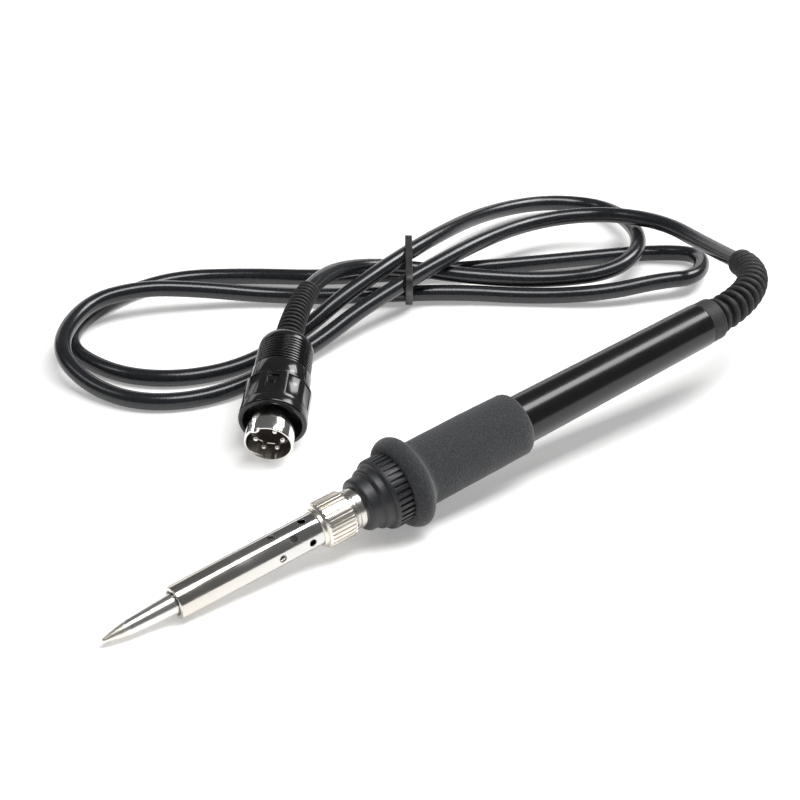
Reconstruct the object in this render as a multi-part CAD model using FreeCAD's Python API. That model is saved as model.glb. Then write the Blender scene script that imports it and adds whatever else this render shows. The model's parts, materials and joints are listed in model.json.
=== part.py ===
"""Station soldering iron with a bundled cord and a locking DIN plug, in millimetres.

The iron is turned work on one axis.  Stations along that axis are counted from the end of the tip
towards the cord.  The finished iron is tilted so that the pipe's mouth and the grip's flange both
touch the floor at z = 0, and +X runs from the tip to the cord.  The plug has its own axis and
stations, counted back from its open face.
"""
import FreeCAD, Part
import math
import os

V = FreeCAD.Vector

# ---------------------------------------------------------------- driving sizes: tip and pipe
TIP_NOSE_R = 0.6            # round end of the tip
TIP_CONE_END = 7.0          # station where the steep nose turns into the long taper
TIP_CONE_R = 1.95
TIP_NECK_R = 2.75           # tip radius at the mouth of the pipe
TIP_SHANK_R = 3.25
TIP_SHOULDER_R = 3.6
TIP_SHOULDER_LENGTH = 2.2
TIP_SHANK_END = 46.0

PIPE_FRONT = 19.5
PIPE_R = 4.35
PIPE_WALL = 0.40
PIPE_MOUTH_R = 3.25
PIPE_LIP = 0.6              # length of the turned-in lip
PIPE_EDGE = 0.3             # rounding of the mouth's outer edge
PIPE_FLANGE_R = 5.15
PIPE_FLANGE_LENGTH = 0.8
VENT_HOLE_R = 1.0
VENT_RING_PITCH = 4.4
VENT_HOLES_PER_RING = 4

# ---------------------------------------------------------------- driving sizes: nut and nose
NUT_FRONT = 60.2
NUT_NECK_LENGTH = 1.0
NUT_NECK_R = 4.95
NUT_R = 6.2
NUT_RIB_LENGTH = 8.1
NUT_RIBS = 30
NUT_RIB_DEPTH = 0.28
THREAD_R = 5.3              # crest of the nipple's thread
THREAD_PITCH = 1.0
THREAD_DEPTH = 0.35

COLLAR_FRONT = 72.8
COLLAR_BEAD_R = 7.0
COLLAR_STEP_R = 8.1
COLLAR_BAND_R = 9.5
COLLAR_BAND_LENGTH = 4.8
COLLAR_FLUTES = 36
COLLAR_FLUTE_DEPTH = 0.55
SPIGOT_LENGTH = 7.0         # collar's spigot inside the handle
NIPPLE_BORE_R = 3.3

# ---------------------------------------------------------------- driving sizes: grip and handle
GRIP_FRONT = 84.3
GRIP_CROWN = 87.1           # station of the flange's largest circle
GRIP_CROWN_R = 12.4
GRIP_CROWN_ROUND = 2.9      # radius of the flange's rim
GRIP_R = 8.75
GRIP_LENGTH = 39.7
GRIP_END_ROUND = 2.0
HANDLE_R = 6.65
HANDLE_REAR_R = 6.15
HANDLE_BORE_R = 5.2
HANDLE_REAR = 188.4

# ---------------------------------------------------------------- driving sizes: heater and board
HEATER_R = 2.0
HEATER_FRONT = 21.5
HEATER_REAR = 72.0
HEATER_BASE_R = 3.0
HEATER_BASE_LENGTH = 4.0
BOARD_FRONT = 98.0
BOARD_LENGTH = 34.0
BOARD_WIDTH = 8.6
BOARD_THICKNESS = 1.2
LEAD_R = 0.45
CORD_WIRE_R = 0.6
WIRES = 5
CORD_TAIL_LENGTH = 6.0      # jacketed end of the cord inside the handle
PLUG_TAIL_LENGTH = 6.4      # jacketed end of the cord inside the plug

# ---------------------------------------------------------------- driving sizes: cord and relief
CORD_D = 4.9
RELIEF_COLLAR_R = 5.95
RELIEF_COLLAR_LENGTH = 5.0
RELIEF_BEND_R = 33.6
RELIEF_TURN_DEG = 75.2
RELIEF_ROLL_DEG = -16.0     # tilt of the bend's plane about the iron's axis
RELIEF_START_R = 5.1
RELIEF_END_R = 4.0
RELIEF_RIBS = 14
RELIEF_RIB_DEPTH = 0.75
RELIEF_STUB_LENGTH = 7.0    # part of the relief inside the handle
RIB_LEAD = 0.4              # bare core before each rib, as a share of half a rib's pitch
RIB_SHARE = 1.15            # rib's thickness, in the same unit

# ---------------------------------------------------------------- driving sizes: plug
PLUG_FACE = V(-21.3, 41.6, 7.0)
PLUG_BACK = V(0.641, 0.720, 0.266)
PLUG_KEY_DEG = 25.0
SHIELD_R = 6.6
SHIELD_WALL = 0.55
SHIELD_LENGTH = 16.0
SHIELD_STEP = 6.9           # station behind which the shield is narrower
SHIELD_REAR_R = 6.3
INSULATOR_FACE = 5.5
PLUG_PIN_R = 0.72
PLUG_PIN_CIRCLE_R = 3.6
PLUG_PIN_TIP = 1.1
RING_FRONT = 7.3
RING_RIM_R = 9.35
RING_RIM_LENGTH = 2.9
RING_R = 9.2
RING_LENGTH = 11.6
RING_MOUTH_R = 8.1
RING_MOUTH_DEPTH = 5.2
RING_FLATS = 10
RING_WINDOW_DEG = 5.0       # place of the latch window round the ring
BODY_R = 8.3
BODY_LENGTH = 5.2
BODY_SLEEVE_R = 7.5         # the ring turns on this
CAP_R = 8.0
CAP_LENGTH = 13.4
CAP_RINGS = 9
CAP_LIP = 1.6               # length of the cap's rear bore, which holds the boot
BOOT_TURN_DEG = 19.3
BOOT_BEND_R = 75.5
BOOT_START_R = 4.1
BOOT_END_R = 3.2
BOOT_RIBS = 16
BOOT_RIB_DEPTH = 0.5
BOOT_ROLL_DEG = 54.2

# ---------------------------------------------------------------- clearances
RUNNING = 0.08              # radial, between pieces that turn or slide on each other
FACE_GAP = 0.10             # between the end faces of pieces that move apart
SLIP = 0.02                 # between fixed pieces pushed into each other
SOLDER_GAP = 0.12           # between a wire's end and the face that it is soldered to

# The cord's points between the relief and the plug, chosen by hand.
CORD_POINTS = [
    (137.5, 44.5, 17.0), (141.0, 66.5, 14.8), (133.5, 88.0, 11.4), (112.0, 97.0, 10.8), (81.5, 90.0, 14.2),
    (40.5, 85.0, 9.4), (19.0, 81.0, 4.2), (-12.5, 75.5, 2.5), (-34.0, 83.5, 2.5), (-43.5, 101.0, 3.2),
    (-44.0, 119.5, 7.8), (-25.0, 136.0, 8.4), (-8.0, 134.0, 8.8), (7.0, 127.5, 6.6), (26.0, 117.0, 3.0),
    (42.0, 103.0, 3.6), (72.0, 85.5, 3.6), (92.5, 69.0, 2.5), (109.5, 55.5, 4.6), (124.5, 50.0, 6.2),
    (137.0, 45.0, 5.8), (151.5, 58.5, 3.6), (140.0, 71.0, 2.5), (113.0, 83.0, 2.5), (82.0, 95.5, 3.6),
    (47.0, 114.0, 3.6), (29.0, 131.5, 2.5), (7.5, 145.0, 2.5), (-18.5, 142.0, 2.5), (-38.0, 128.0, 2.5),
    (-34.5, 104.5, 2.5), (-21.0, 90.5, 2.5), (-1.5, 85.5, 2.5), (19.5, 88.5, 5.0), (38.0, 89.5, 13.2),
    (75.0, 100.0, 14.8), (108.5, 115.0, 8.0), (136.0, 115.0, 4.2), (149.5, 98.0, 4.2), (135.0, 68.0, 9.4),
    (116.0, 58.0, 8.8), (98.5, 71.0, 5.2), (77.5, 84.5, 7.5), (65.0, 98.5, 8.4), (48.0, 100.5, 13.4),
    (29.9, 91.8, 20.0),
]
CORD_RUN_SHARE = 0.45       # share of the shorter run that an arc takes

# The tie goes round five strands of the bundle, in an upright plane.
TIE_POINT = V(63.8, 95.6, 0.0)
TIE_ALONG = V(0.578, 0.816, 0.0)
TIE_CORNERS = [(-12.2, 11.7), (5.0, 14.6), (8.8, 3.7), (-5.0, 3.7)]
TIE_WIDTH = 2.2
TIE_THICKNESS = 0.7
TIE_INSIDE_R = CORD_D / 2 + 0.35


def iron_tilt():
    """Angle that puts both the pipe's mouth and the flange's rim on the floor."""
    tilt = 0.1
    for _ in range(40):
        rise = (GRIP_CROWN_R - GRIP_CROWN_ROUND - PIPE_R) * math.cos(tilt) + GRIP_CROWN_ROUND
        tilt = math.asin(rise / (GRIP_CROWN - PIPE_FRONT - PIPE_EDGE))
    return tilt


TILT = iron_tilt()
IRON_REAR_X = HANDLE_REAR * math.cos(TILT) + HANDLE_REAR_R * math.sin(TILT)
TIP_HEIGHT = PIPE_R * math.cos(TILT) - (PIPE_FRONT + PIPE_EDGE) * math.sin(TILT)
IRON_PLACE = FreeCAD.Placement(
    V(-IRON_REAR_X / 2, 0, TIP_HEIGHT),
    FreeCAD.Rotation(V(0, 1, 0), -math.degrees(TILT)),
)
PLUG_PLACE = FreeCAD.Placement(PLUG_FACE, FreeCAD.Rotation(V(1, 0, 0), PLUG_BACK))


# ---------------------------------------------------------------- shape helpers
def turned(outline):
    """Solid of revolution about X.  An item (x, r) is a straight line to that point, and a pair of
    points is an arc through the first one to the second one."""
    edges = []
    here = V(outline[0][0], outline[0][1], 0)
    start = here
    for item in outline[1:]:
        if isinstance(item[0], tuple):
            middle = V(item[0][0], item[0][1], 0)
            there = V(item[1][0], item[1][1], 0)
            edges.append(Part.Arc(here, middle, there).toShape())
        else:
            there = V(item[0], item[1], 0)
            edges.append(Part.LineSegment(here, there).toShape())
        here = there
    if (start - here).Length > 1e-6:
        edges.append(Part.LineSegment(here, start).toShape())
    face = Part.Face(Part.Wire(edges))
    solid = face.revolve(V(0, 0, 0), V(1, 0, 0), 360)
    if solid.Volume < 0:
        solid.reverse()
    return solid


def rod(x0, x1, radius, y=0.0, z=0.0):
    return Part.makeCylinder(radius, x1 - x0, V(x0, y, z), V(1, 0, 0))


def tube(x0, x1, outer, inner):
    return rod(x0, x1, outer).cut(rod(x0 - 1, x1 + 1, inner))


def polar(shape, count, start_deg=0.0):
    """Copies of a shape turned about the X axis."""
    copies = []
    for i in range(count):
        one = shape.copy()
        one.rotate(V(0, 0, 0), V(1, 0, 0), start_deg + 360.0 * i / count)
        copies.append(one)
    return copies


def on_circle(radius, angle_deg):
    """Point on a circle about X: 0 is up, and a positive angle turns towards +Y."""
    angle = math.radians(angle_deg)
    return radius * math.sin(angle), radius * math.cos(angle)


def arc_mid(x0, r0, x1, r1, bulge):
    """Point beside the middle of a chord, pushed out by bulge (negative pushes in)."""
    dx = x1 - x0
    dr = r1 - r0
    size = math.hypot(dx, dr)
    return ((x0 + x1) / 2 - dr / size * bulge, (r0 + r1) / 2 + dx / size * bulge)


# ---------------------------------------------------------------- tip, pipe and nut
def soldering_tip():
    nose = TIP_NOSE_R
    shoulder = PIPE_FRONT + PIPE_LIP + FACE_GAP
    cone = (nose * 1.6, nose * 1.12)
    body = turned([
        (0, 0),
        ((nose * 0.30, nose * 0.72), cone),
        (arc_mid(cone[0], cone[1], TIP_CONE_END, TIP_CONE_R, 0.12), (TIP_CONE_END, TIP_CONE_R)),
        (PIPE_FRONT, TIP_NECK_R),
        (shoulder, TIP_NECK_R),
        (shoulder, TIP_SHOULDER_R),
        (shoulder + TIP_SHOULDER_LENGTH, TIP_SHOULDER_R),
        (shoulder + TIP_SHOULDER_LENGTH, TIP_SHANK_R),
        (TIP_SHANK_END, TIP_SHANK_R),
        (TIP_SHANK_END, 0),
    ])
    return body.cut(rod(HEATER_FRONT - 0.5, TIP_SHANK_END + 1, HEATER_R + RUNNING))


def enclosure_pipe():
    flange = NUT_FRONT + NUT_NECK_LENGTH + 1.5
    end = flange + PIPE_FLANGE_LENGTH
    inner = PIPE_R - PIPE_WALL
    edge = PIPE_EDGE
    pipe = turned([
        (PIPE_FRONT + edge, PIPE_R),
        (flange, PIPE_R),
        (flange, PIPE_FLANGE_R),
        (end, PIPE_FLANGE_R),
        (end, inner),
        (PIPE_FRONT + PIPE_LIP, inner),
        (PIPE_FRONT + PIPE_LIP, PIPE_MOUTH_R),
        (PIPE_FRONT, PIPE_MOUTH_R),
        (PIPE_FRONT, PIPE_R - edge),
        ((PIPE_FRONT + edge * 0.3, PIPE_R - edge * 0.3), (PIPE_FRONT + edge, PIPE_R)),
    ])
    last_ring = NUT_FRONT - 3.4
    for ring in range(3):
        x = last_ring - ring * VENT_RING_PITCH
        drill = Part.makeCylinder(VENT_HOLE_R, PIPE_R + 1, V(x, 0, 0), V(0, 0, 1))
        turn = 360.0 / VENT_HOLES_PER_RING / 2 * (ring % 2)
        for hole in polar(drill, VENT_HOLES_PER_RING, turn):
            pipe = pipe.cut(hole)
    return pipe


def union_nut():
    ribs_start = NUT_FRONT + NUT_NECK_LENGTH
    end = ribs_start + NUT_RIB_LENGTH
    seat = ribs_start + 1.5 - FACE_GAP
    body = turned([
        (NUT_FRONT, PIPE_R + RUNNING),
        (NUT_FRONT, NUT_NECK_R - 0.2),
        (NUT_FRONT + 0.2, NUT_NECK_R),
        (ribs_start, NUT_NECK_R),
        (ribs_start, NUT_R - 0.7),
        (ribs_start + 0.7, NUT_R),
        (end - 0.5, NUT_R),
        (end, NUT_R - 0.5),
        (end, THREAD_R + RUNNING),
        (seat, THREAD_R + RUNNING),
        (seat, PIPE_R + RUNNING),
    ])
    slot = Part.makeBox(NUT_RIB_LENGTH + 2, 0.45, NUT_RIB_DEPTH + 1)
    slot.translate(V(ribs_start + 0.02, -0.225, NUT_R - NUT_RIB_DEPTH))
    body = body.cut(Part.makeCompound(polar(slot, NUT_RIBS)))
    turns = int((end - seat - 2.5) / THREAD_PITCH)
    for i in range(turns):
        x = end - 1.0 - (i + 0.5) * THREAD_PITCH
        body = body.cut(tube(x, x + THREAD_PITCH / 2, THREAD_R + RUNNING + 0.2, THREAD_R - 0.5))
    return body


# ---------------------------------------------------------------- nose
def nipple_front():
    return NUT_FRONT + NUT_NECK_LENGTH + 1.5 + PIPE_FLANGE_LENGTH + FACE_GAP


def nose_nipple():
    front = nipple_front()
    back = COLLAR_FRONT + 1.2
    shank_r = THREAD_R - 0.9
    end = GRIP_FRONT + SPIGOT_LENGTH - 1.0
    body = turned([
        (front, NIPPLE_BORE_R),
        (front, THREAD_R - THREAD_DEPTH),
        (front + 0.4, THREAD_R),
        (back, THREAD_R),
        (back, shank_r),
        (end, shank_r),
        (end, NIPPLE_BORE_R),
    ])
    turns = int((COLLAR_FRONT - 1.8 - front) / THREAD_PITCH)
    for i in range(turns):
        x = front + 0.8 + i * THREAD_PITCH
        body = body.cut(tube(x, x + THREAD_PITCH / 2, THREAD_R + 1, THREAD_R - THREAD_DEPTH))
    y, z = on_circle(THREAD_R, -150)
    notch = Part.makeCylinder(0.9, 1.6, V(COLLAR_FRONT - 0.6, y * 0.85, z * 0.85), V(0, y, z))
    return body.cut(notch)


def nose_collar():
    front = COLLAR_FRONT
    band_end = GRIP_FRONT - FACE_GAP
    band = band_end - COLLAR_BAND_LENGTH
    step = band - 2.9
    hole = THREAD_R + SLIP
    shank = THREAD_R - 0.9 + SLIP
    spigot_r = HANDLE_BORE_R - RUNNING
    end = GRIP_FRONT + SPIGOT_LENGTH
    body = turned([
        (front, hole),
        (front, COLLAR_BEAD_R - 1.0),
        ((front + 0.35, COLLAR_BEAD_R - 0.3), (front + 1.3, COLLAR_BEAD_R)),
        (step - 0.5, COLLAR_BEAD_R + 0.15),
        ((step - 0.15, COLLAR_BEAD_R + 0.30), (step, COLLAR_BEAD_R + 0.6)),
        ((step + 0.35, COLLAR_STEP_R - 0.1), (step + 0.9, COLLAR_STEP_R)),
        (band - 0.7, COLLAR_STEP_R + 0.15),
        (band - 0.5, COLLAR_BAND_R - 0.8),
        ((band - 0.3, COLLAR_BAND_R - 0.35), (band + 0.1, COLLAR_BAND_R - 0.15)),
        (band + 0.4, COLLAR_BAND_R),
        (band_end, COLLAR_BAND_R),
        (band_end, spigot_r),
        (end, spigot_r),
        (end, shank),
        (front + 1.2 + SLIP, shank),
        (front + 1.2 + SLIP, hole),
    ])
    flute = Part.makeBox(COLLAR_BAND_LENGTH, 0.75, COLLAR_FLUTE_DEPTH + 1)
    flute.translate(V(band + 0.5, -0.375, COLLAR_BAND_R - COLLAR_FLUTE_DEPTH))
    return body.cut(Part.makeCompound(polar(flute, COLLAR_FLUTES)))


# ---------------------------------------------------------------- grip and handle
def foam_grip():
    end = GRIP_FRONT + GRIP_LENGTH
    top = GRIP_CROWN_R
    rim = GRIP_CROWN_ROUND
    front_r = top - rim
    back = GRIP_CROWN + rim
    neck = GRIP_R + 1.6
    rnd = GRIP_END_ROUND
    diag = rnd * (1 - math.sqrt(0.5))
    return turned([
        (GRIP_FRONT, HANDLE_R + SLIP),
        (GRIP_FRONT, front_r),
        ((GRIP_CROWN - rim * 0.68, top - rim * 0.27), (GRIP_CROWN, top)),
        ((GRIP_CROWN + rim * math.sqrt(0.5), top - rim * (1 - math.sqrt(0.5))), (back, top - rim)),
        ((back + 0.65, neck - 0.9), (back + 2.6, GRIP_R)),
        (end - rnd, GRIP_R - 0.15),
        ((end - diag, GRIP_R - 0.15 - diag), (end, GRIP_R - 0.15 - rnd)),
        (end, HANDLE_R + SLIP),
    ])


def handle_tube():
    front = GRIP_FRONT + FACE_GAP
    grip_end = GRIP_FRONT + GRIP_LENGTH
    return turned([
        (front, HANDLE_BORE_R),
        (front, HANDLE_R),
        (grip_end, HANDLE_R),
        (HANDLE_REAR - 0.3, HANDLE_REAR_R),
        (HANDLE_REAR, HANDLE_REAR_R - 0.3),
        (HANDLE_REAR, HANDLE_BORE_R),
    ])


# ---------------------------------------------------------------- inside the handle
def heater_core():
    return rod(HEATER_FRONT, HEATER_REAR, HEATER_R)


def heater_base():
    return tube(HEATER_REAR - HEATER_BASE_LENGTH, HEATER_REAR, HEATER_BASE_R, HEATER_R + SLIP)


def heater_leads():
    wires = []
    for i in range(4):
        y, z = on_circle(1.2, 45 + 90 * i)
        wires.append(rod(HEATER_REAR, BOARD_FRONT, LEAD_R, y, z))
    return Part.makeCompound(wires)


def terminal_board():
    board = Part.makeBox(BOARD_LENGTH, BOARD_WIDTH, BOARD_THICKNESS)
    board.translate(V(BOARD_FRONT, -BOARD_WIDTH / 2, -BOARD_THICKNESS / 2))
    return board


def board_terminals():
    """Solder posts at the cord end of the board, one for each wire of the cord."""
    posts = []
    for i in range(WIRES):
        y = (i - (WIRES - 1) / 2) * 1.6
        post = Part.makeBox(3.0, 0.9, 0.8)
        post.translate(V(BOARD_FRONT + BOARD_LENGTH - 3.0, y - 0.45, BOARD_THICKNESS / 2))
        posts.append(post)
    return Part.makeCompound(posts)


def cord_wires():
    """The cord's five wires from the board's posts to the end of the jacket."""
    start = BOARD_FRONT + BOARD_LENGTH + SOLDER_GAP
    end = HANDLE_REAR - RELIEF_STUB_LENGTH - CORD_TAIL_LENGTH - SOLDER_GAP
    height = BOARD_THICKNESS / 2 + 0.4
    wires = []
    for i in range(WIRES):
        y = (i - (WIRES - 1) / 2) * 1.6
        near = V(start, y, height)
        far = V(end, y * 0.75, 0)
        wires.append(Part.makeCylinder(CORD_WIRE_R, (far - near).Length, near, far - near))
    return Part.makeCompound(wires)


def ground_clip():
    """Sprung strip that carries the earth from the nipple's spigot to the board."""
    arc = tube(GRIP_FRONT + SPIGOT_LENGTH + FACE_GAP + 0.1, BOARD_FRONT + 3.0,
               HANDLE_BORE_R - SLIP, HANDLE_BORE_R - 0.35)
    keep = Part.makeBox(40, 5.0, 4.0)
    keep.translate(V(GRIP_FRONT, -2.5, -HANDLE_BORE_R - 1))
    return arc.common(keep)


def handle_cord_tail():
    end = HANDLE_REAR - RELIEF_STUB_LENGTH
    return rod(end - CORD_TAIL_LENGTH, end, CORD_D / 2)


def cord_clamp():
    end = HANDLE_REAR - RELIEF_STUB_LENGTH
    ring = tube(end - 4.6, end - 1.6, CORD_D / 2 + 0.9, CORD_D / 2 + SLIP)
    gap = Part.makeBox(5, 1.0, 6)
    gap.translate(V(end - 5.5, -0.5, 0))
    return ring.cut(gap)


# ---------------------------------------------------------------- bent ribbed boots
def bend_side(forward, up_hint, roll_deg):
    """Side direction in which a bend leans, square to forward."""
    side = forward.cross(up_hint)
    side.normalize()
    return FreeCAD.Rotation(forward, roll_deg).multVec(side)


def bend_point(origin, forward, side, radius, angle):
    return origin + forward * (radius * math.sin(angle)) + side * (radius * (1 - math.cos(angle)))


def bend_direction(forward, side, angle):
    return forward * math.cos(angle) + side * math.sin(angle)


def ribbed_bend(origin, forward, side, radius, turn_deg, start_r, end_r, ribs, depth):
    """Bent boot: a core along an arc with a tapered rib at each step."""
    turn = math.radians(turn_deg)
    middle = bend_point(origin, forward, side, radius, turn / 2)
    end = bend_point(origin, forward, side, radius, turn)
    core_path = Part.Wire([Part.Arc(origin, middle, end).toShape()])
    steps = 2 * ribs
    rib_list = []
    for i in range(ribs):
        lower = turn * (2 * i + RIB_LEAD) / steps
        upper = turn * (2 * i + RIB_LEAD + RIB_SHARE) / steps
        blend = i / (ribs - 1)
        r = start_r + (end_r - start_r) * blend
        p0 = bend_point(origin, forward, side, radius, lower)
        p1 = bend_point(origin, forward, side, radius, upper)
        direction = bend_direction(forward, side, (lower + upper) / 2)
        rib_list.append(Part.makeCylinder(r, (p1 - p0).Length, p0, direction))
    core_r = end_r - depth
    section = Part.Wire([Part.makeCircle(core_r, origin, forward)])
    core = core_path.makePipeShell([section], True, True)
    body = core.multiFuse(rib_list)
    return body.removeSplitter(), end, bend_direction(forward, side, turn)


def relief_bend():
    start = IRON_PLACE.multVec(V(HANDLE_REAR + RELIEF_COLLAR_LENGTH, 0, 0))
    forward = IRON_PLACE.Rotation.multVec(V(1, 0, 0))
    side = bend_side(forward, V(0, 0, -1), RELIEF_ROLL_DEG)
    return start, forward, side


def strain_relief():
    start, forward, side = relief_bend()
    ribs, end, direction = ribbed_bend(start, forward, side, RELIEF_BEND_R, RELIEF_TURN_DEG,
                                       RELIEF_START_R, RELIEF_END_R, RELIEF_RIBS, RELIEF_RIB_DEPTH)
    rear = HANDLE_REAR + RELIEF_COLLAR_LENGTH
    collar = turned([
        (HANDLE_REAR - RELIEF_STUB_LENGTH, 0),
        (HANDLE_REAR - RELIEF_STUB_LENGTH, HANDLE_BORE_R - SLIP),
        (HANDLE_REAR, HANDLE_BORE_R - SLIP),
        (HANDLE_REAR, RELIEF_COLLAR_R),
        (rear - 0.9, RELIEF_COLLAR_R - 0.05),
        ((rear - 0.25, RELIEF_COLLAR_R - 0.3), (rear, RELIEF_COLLAR_R - 0.9)),
        (rear, 0),
    ])
    collar.Placement = IRON_PLACE.multiply(collar.Placement)
    return collar.fuse(ribs).removeSplitter(), end, direction


# ---------------------------------------------------------------- cord
def cord_tube(points, diameter):
    """Straight runs joined by tangent arcs, swept with a round section."""
    edges = []
    radii = []
    here = points[0]
    length = 0.0
    for i in range(1, len(points) - 1):
        back = points[i - 1] - points[i]
        ahead = points[i + 1] - points[i]
        reach = CORD_RUN_SHARE * min(back.Length, ahead.Length)
        back.normalize()
        ahead.normalize()
        turn = math.pi - back.getAngle(ahead)
        radius = reach / math.tan(turn / 2)
        radii.append(radius)
        first = points[i] + back * reach
        last = points[i] + ahead * reach
        inward = back + ahead
        inward.normalize()
        middle = points[i] + inward * (radius / math.cos(turn / 2) - radius)
        edges.append(Part.LineSegment(here, first).toShape())
        edges.append(Part.Arc(first, middle, last).toShape())
        length += (first - here).Length + radius * turn
        here = last
    edges.append(Part.LineSegment(here, points[-1]).toShape())
    length += (points[-1] - here).Length
    path = Part.Wire(edges)
    section = Part.Wire([Part.makeCircle(diameter / 2, points[0], points[1] - points[0])])
    solid = path.makePipeShell([section], True, True)
    expected = math.pi * diameter ** 2 / 4 * length
    print("cord length %.1f, volume %.1f of %.1f" % (length, solid.Volume, expected))
    print("cord radii", " ".join("%.1f" % r for r in radii))
    return solid


def cord_tie():
    """Thin band round the bundle, in an upright plane."""
    corners = [TIE_POINT + TIE_ALONG * a + V(0, 0, z) for a, z in TIE_CORNERS]
    loop = Part.makePolygon(corners + [corners[0]])
    inner = loop.makeOffset2D(TIE_INSIDE_R)
    outer = loop.makeOffset2D(TIE_INSIDE_R + TIE_THICKNESS)
    ring = Part.Face(outer).cut(Part.Face(inner))
    across = TIE_ALONG.cross(V(0, 0, 1))
    across.normalize()
    band = ring.extrude(across * TIE_WIDTH)
    band.translate(across * (-TIE_WIDTH / 2))
    return band.Solids[0]


# ---------------------------------------------------------------- plug
def plug_shield():
    shell = turned([
        (0, SHIELD_R - SHIELD_WALL),
        (0, SHIELD_R - 0.2),
        (0.2, SHIELD_R),
        (SHIELD_STEP, SHIELD_R),
        (SHIELD_STEP, SHIELD_REAR_R),
        (SHIELD_LENGTH, SHIELD_REAR_R),
        (SHIELD_LENGTH, SHIELD_REAR_R - SHIELD_WALL),
        (INSULATOR_FACE - SLIP, SHIELD_REAR_R - SHIELD_WALL),
        (INSULATOR_FACE - SLIP, SHIELD_R - SHIELD_WALL),
    ])
    y, z = on_circle(SHIELD_R + 0.1, PLUG_KEY_DEG)
    key_wall = rod(0, INSULATOR_FACE - 0.1, 1.6, y, z).common(rod(0, INSULATOR_FACE, SHIELD_R - 0.01))
    return shell.fuse(key_wall).cut(rod(-1, INSULATOR_FACE - 0.6, 1.1, y, z)).removeSplitter()


def pin_places():
    """The pins stand on five corners of a hexagon; the sixth corner faces the key."""
    return [on_circle(PLUG_PIN_CIRCLE_R, PLUG_KEY_DEG + 60 * (i + 1)) for i in range(WIRES)]


def plug_insulator():
    block = rod(INSULATOR_FACE, SHIELD_LENGTH - 2.0, SHIELD_REAR_R - SHIELD_WALL - SLIP)
    for y, z in pin_places():
        block = block.cut(rod(0, SHIELD_LENGTH, PLUG_PIN_R, y, z))
    return block


def plug_pins():
    pins = []
    tip = PLUG_PIN_TIP + PLUG_PIN_R
    for y, z in pin_places():
        pin = rod(tip, SHIELD_LENGTH, PLUG_PIN_R, y, z)
        ball = Part.makeSphere(PLUG_PIN_R, V(tip, y, z))
        pins.append(pin.fuse(ball).removeSplitter())
    return Part.makeCompound(pins)


def plug_lock_ring():
    front = RING_FRONT
    rim_end = front + RING_RIM_LENGTH
    end = front + RING_LENGTH
    mouth = front + RING_MOUTH_DEPTH
    web = mouth + 1.5
    body = turned([
        (front, RING_MOUTH_R),
        (front, RING_RIM_R - 0.7),
        ((front + 0.2, RING_RIM_R - 0.2), (front + 0.8, RING_RIM_R)),
        (rim_end - 0.5, RING_RIM_R),
        ((rim_end + 0.1, RING_RIM_R - 0.15), (rim_end + 0.6, RING_R)),
        (end - 0.3, RING_R),
        (end, RING_R - 0.3),
        (end, BODY_SLEEVE_R + RUNNING),
        (web, BODY_SLEEVE_R + RUNNING),
        (web, SHIELD_REAR_R + RUNNING),
        (mouth, SHIELD_REAR_R + RUNNING),
        (mouth, RING_MOUTH_R),
    ])
    for i in range(4):
        x = front + 0.5 + i * 1.1
        body = body.cut(tube(x, x + 0.5, RING_MOUTH_R + 0.3, RING_MOUTH_R - 0.2))
    flat = Part.makeBox(RING_LENGTH - RING_RIM_LENGTH - 1.8, 3.6, 2.0)
    flat.translate(V(rim_end + 1.1, -1.8, RING_R - 0.35))
    body = body.cut(Part.makeCompound(polar(flat, RING_FLATS, RING_WINDOW_DEG)))
    window = Part.makeBox(3.6, 3.0, 2.0)
    window.translate(V(end - 5.2, -1.5, RING_R - 0.85))
    button = Part.makeCylinder(0.75, 0.55, V(end - 3.4, 0, RING_R - 0.95), V(0, 0, 1))
    window.rotate(V(0, 0, 0), V(1, 0, 0), RING_WINDOW_DEG)
    button.rotate(V(0, 0, 0), V(1, 0, 0), RING_WINDOW_DEG)
    return body.cut(window).fuse(button).removeSplitter()


def ring_end():
    return RING_FRONT + RING_LENGTH


def plug_body():
    start = RING_FRONT + RING_MOUTH_DEPTH + 1.5 + FACE_GAP
    shoulder = ring_end() + FACE_GAP
    end = shoulder + BODY_LENGTH
    return turned([
        (start, SHIELD_REAR_R + SLIP),
        (start, BODY_SLEEVE_R),
        (shoulder, BODY_SLEEVE_R),
        (shoulder, BODY_R - 0.3),
        (shoulder + 0.3, BODY_R),
        (end, BODY_R),
        (end, BODY_SLEEVE_R - 0.6),
        (SHIELD_LENGTH, BODY_SLEEVE_R - 0.6),
        (SHIELD_LENGTH, SHIELD_REAR_R + SLIP),
    ])


def cap_start():
    return ring_end() + FACE_GAP + BODY_LENGTH


def plug_cap():
    start = cap_start()
    end = start + CAP_LENGTH
    inner = CAP_R - 1.3
    dome = end - 3.4
    cap = turned([
        (start, inner),
        (start, CAP_R - 0.1),
        (start + 0.2, CAP_R),
        (dome, CAP_R - 0.35),
        ((end - 0.9, CAP_R - 1.6), (end, BOOT_START_R + SLIP + 0.4)),
        (end, BOOT_START_R + SLIP),
        (end - CAP_LIP, BOOT_START_R + SLIP),
        (end - CAP_LIP, inner - 1.2),
        (dome - 0.4, inner),
    ])
    pitch = (CAP_LENGTH - 4.4) / CAP_RINGS
    for i in range(CAP_RINGS):
        x = start + 0.6 + i * pitch
        cap = cap.cut(tube(x, x + pitch * 0.45, CAP_R + 1, CAP_R - 0.6))
    return cap


def plug_tail():
    end = cap_start() + CAP_LENGTH - CAP_LIP
    return rod(end - PLUG_TAIL_LENGTH, end, CORD_D / 2)


def plug_clamp():
    end = cap_start() + CAP_LENGTH
    ring = tube(end - 6.4, end - 4.0, CORD_D / 2 + 0.7, CORD_D / 2 + SLIP)
    gap = Part.makeBox(4, 0.9, 6)
    gap.translate(V(end - 7, -0.45, 0))
    return ring.cut(gap)


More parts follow.
